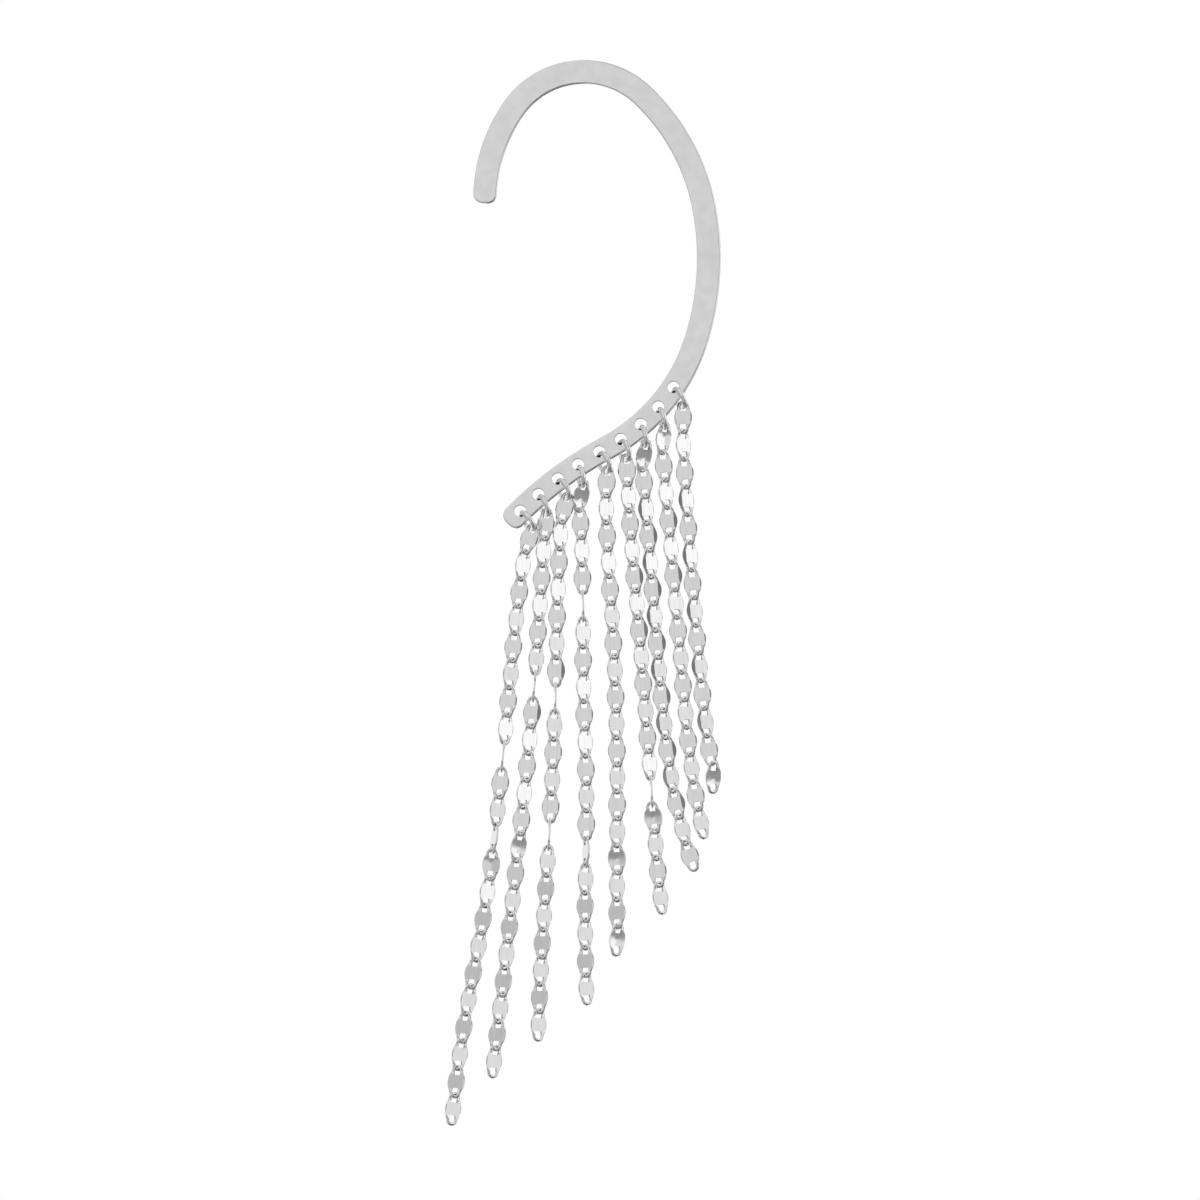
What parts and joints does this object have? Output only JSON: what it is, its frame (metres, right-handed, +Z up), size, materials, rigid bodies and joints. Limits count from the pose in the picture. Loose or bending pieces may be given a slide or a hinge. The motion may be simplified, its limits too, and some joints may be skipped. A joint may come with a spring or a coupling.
{
  "type": "ear chain earring",
  "caption": "Flat metal ear hook worn over the ear, with a lower bar that carries hanging strands of flattened-link chain on jump rings.",
  "frame": {"origin": "middle of the crown's inner edge, where the hook sits on the top of the ear, at half the band's thickness", "axes": "+Z is up as worn, the strands hang towards -Z, the front faces -Y and +X is to the right as seen from the front"},
  "size_m": [0.0342, 0.0028, 0.1334],
  "materials": {
    "hook_metal": "polished silver-tone plate on a flat stamped band",
    "ring_metal": "polished silver-tone wire",
    "chain_metal": "bright silver-tone plate, with faint lengthwise marks on the flattened faces"
  },
  "bodies": {
    "root": {"ear_hook": "hook_metal", "jump_ring_1": "ring_metal", "jump_ring_2": "ring_metal", "jump_ring_3": "ring_metal", "jump_ring_4": "ring_metal", "jump_ring_5": "ring_metal", "jump_ring_6": "ring_metal", "jump_ring_7": "ring_metal", "jump_ring_8": "ring_metal", "jump_ring_9": "ring_metal", "chain_1": "chain_metal", "chain_2": "chain_metal", "chain_3": "chain_metal", "chain_4": "chain_metal", "chain_5": "chain_metal", "chain_6": "chain_metal", "chain_7": "chain_metal", "chain_8": "chain_metal", "chain_9": "chain_metal"}
  },
  "joints": []
}
